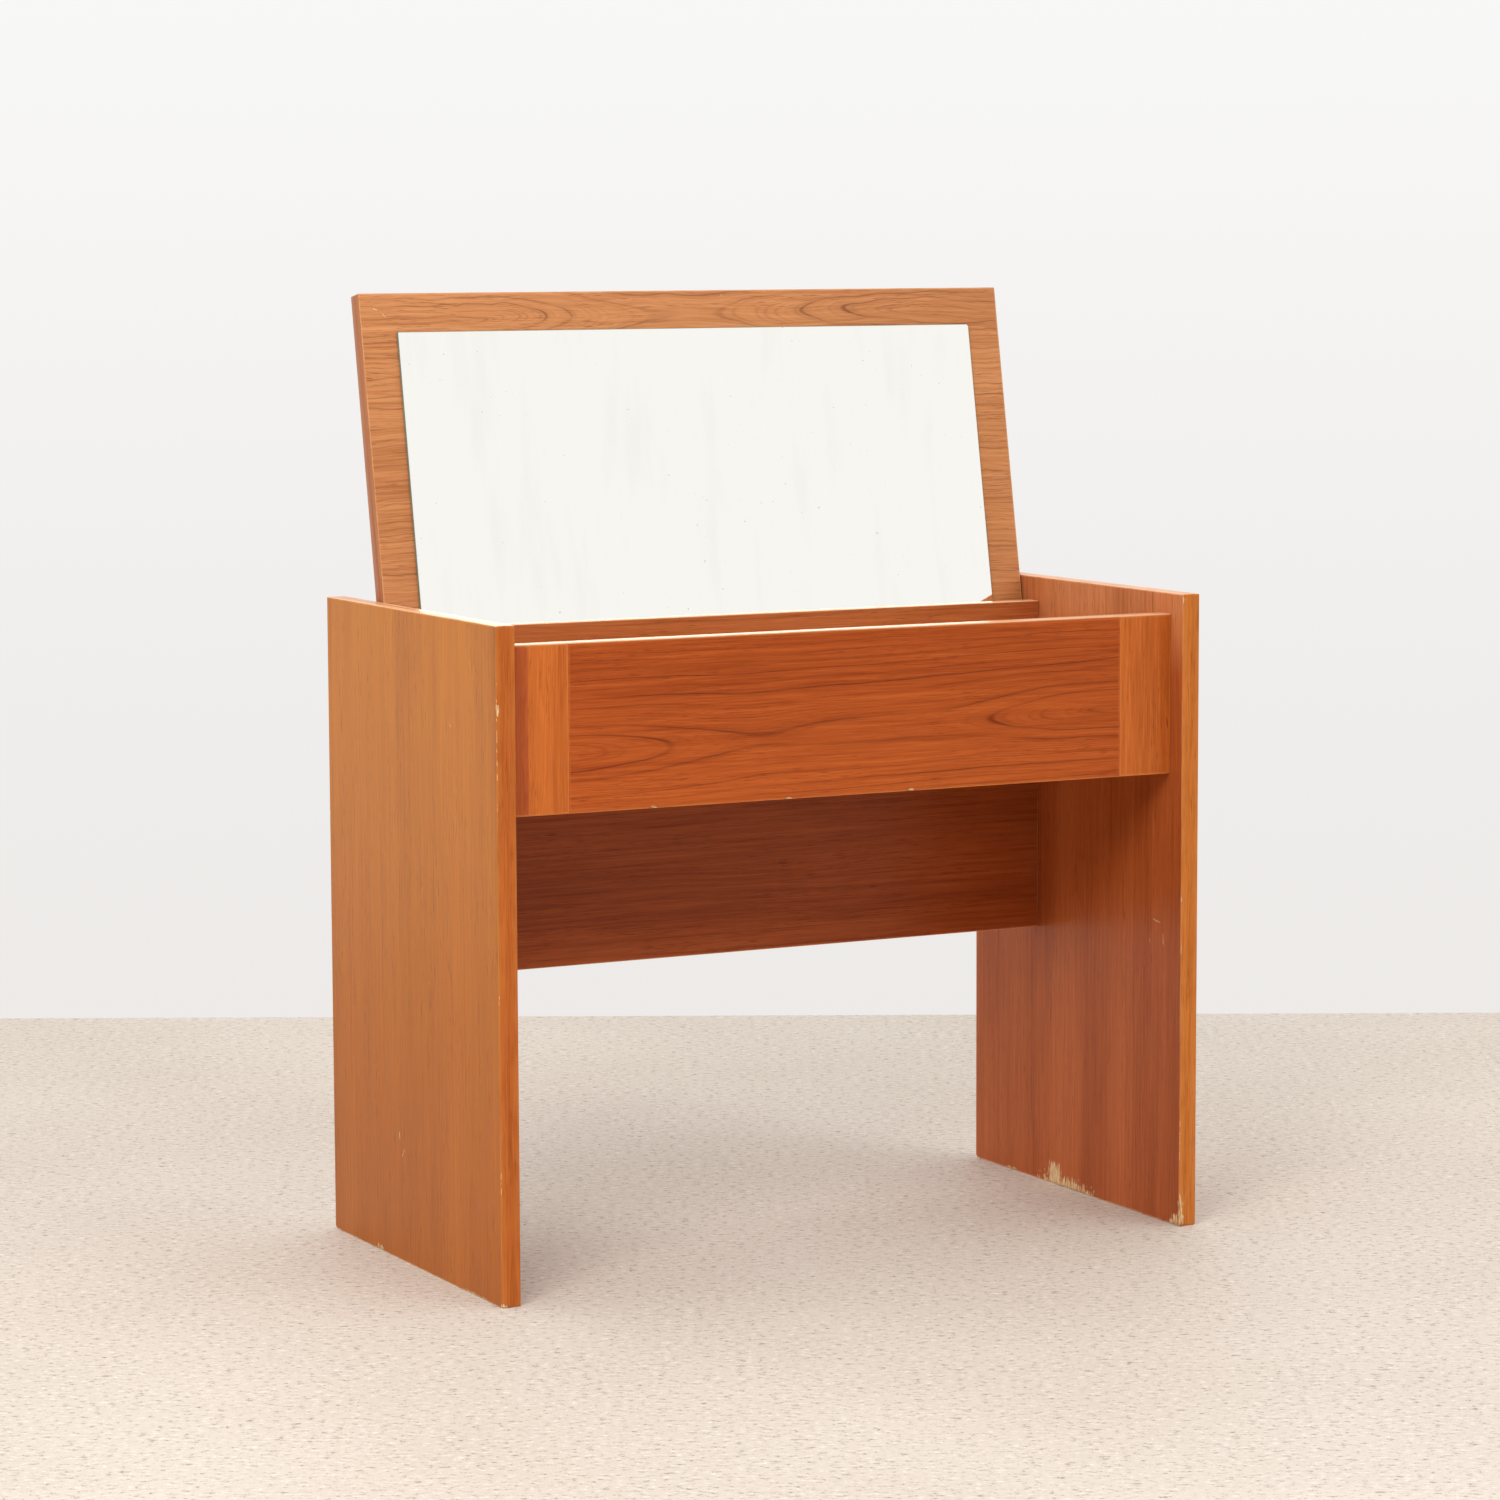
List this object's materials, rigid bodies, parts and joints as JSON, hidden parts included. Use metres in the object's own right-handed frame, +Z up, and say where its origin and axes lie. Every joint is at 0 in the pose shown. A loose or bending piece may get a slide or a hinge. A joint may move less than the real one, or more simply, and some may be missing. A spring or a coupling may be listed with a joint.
{
  "type": "vanity table with mirror",
  "caption": "Dressing table of two slab gables, a recessed front apron and a back panel, with a lift-up lid that turns on side pins and holds a mirror over a compartment.",
  "frame": {"origin": "on the floor, at the middle of the footprint of the two gables", "axes": "+X from the left gable to the right one as seen from the front, +Y from the front to the back, +Z up"},
  "size_m": [0.8, 0.421, 0.9779],
  "materials": {
    "gable_teak": "satin lacquered teak veneer, upright grain",
    "panel_teak": "satin lacquered teak veneer, level grain",
    "stile_teak": "satin lacquered teak, upright grain",
    "back_teak": "satin lacquered teak veneer, level grain",
    "lid_teak": "satin lacquered figured teak veneer, level grain",
    "lipping_teak": "satin lacquered solid teak",
    "plywood": "bare plywood",
    "pine": "bare softwood",
    "beech": "bare beech",
    "mirror": "silvered flat glass",
    "steel": "turned mild steel",
    "brass": "turned brass"
  },
  "bodies": {
    "carcass": {"left_gable": "gable_teak", "left_gable_front_lipping": "lipping_teak", "left_gable_back_lipping": "lipping_teak", "left_gable_top_lipping": "lipping_teak", "right_gable": "gable_teak", "right_gable_front_lipping": "lipping_teak", "right_gable_back_lipping": "lipping_teak", "right_gable_top_lipping": "lipping_teak", "apron_field": "panel_teak", "apron_left_stile": "stile_teak", "apron_right_stile": "stile_teak", "apron_left_tongue": "beech", "apron_right_tongue": "beech", "apron_top_lipping": "lipping_teak", "apron_bottom_lipping": "lipping_teak", "back_panel": "back_teak", "back_panel_top_lipping": "lipping_teak", "back_panel_bottom_lipping": "lipping_teak", "compartment_bottom": "plywood", "left_batten": "pine", "left_batten_screw_1": "steel", "left_batten_screw_2": "steel", "right_batten": "pine", "right_batten_screw_1": "steel", "right_batten_screw_2": "steel", "apron_left_dowel_1": "beech", "apron_left_dowel_2": "beech", "apron_left_dowel_3": "beech", "back_panel_left_dowel_1": "beech", "back_panel_left_dowel_2": "beech", "back_panel_left_dowel_3": "beech", "back_panel_left_dowel_4": "beech", "apron_right_dowel_1": "beech", "apron_right_dowel_2": "beech", "apron_right_dowel_3": "beech", "back_panel_right_dowel_1": "beech", "back_panel_right_dowel_2": "beech", "back_panel_right_dowel_3": "beech", "back_panel_right_dowel_4": "beech", "left_pivot_bush": "brass", "right_pivot_bush": "brass"},
    "lid": {"lid_board": "lid_teak", "lid_front_lipping": "lipping_teak", "lid_back_lipping": "lipping_teak", "lid_left_lipping": "lipping_teak", "lid_right_lipping": "lipping_teak", "mirror": "mirror", "left_pivot_pin": "steel", "right_pivot_pin": "steel"}
  },
  "joints": [
    {"name": "lid_hinge", "type": "hinge", "parent": "carcass", "child": "lid", "pos_m": [0, 0.1207, 0.6533], "axis": [1, 0, 0], "range_deg": [0, 100.29]}
  ]
}
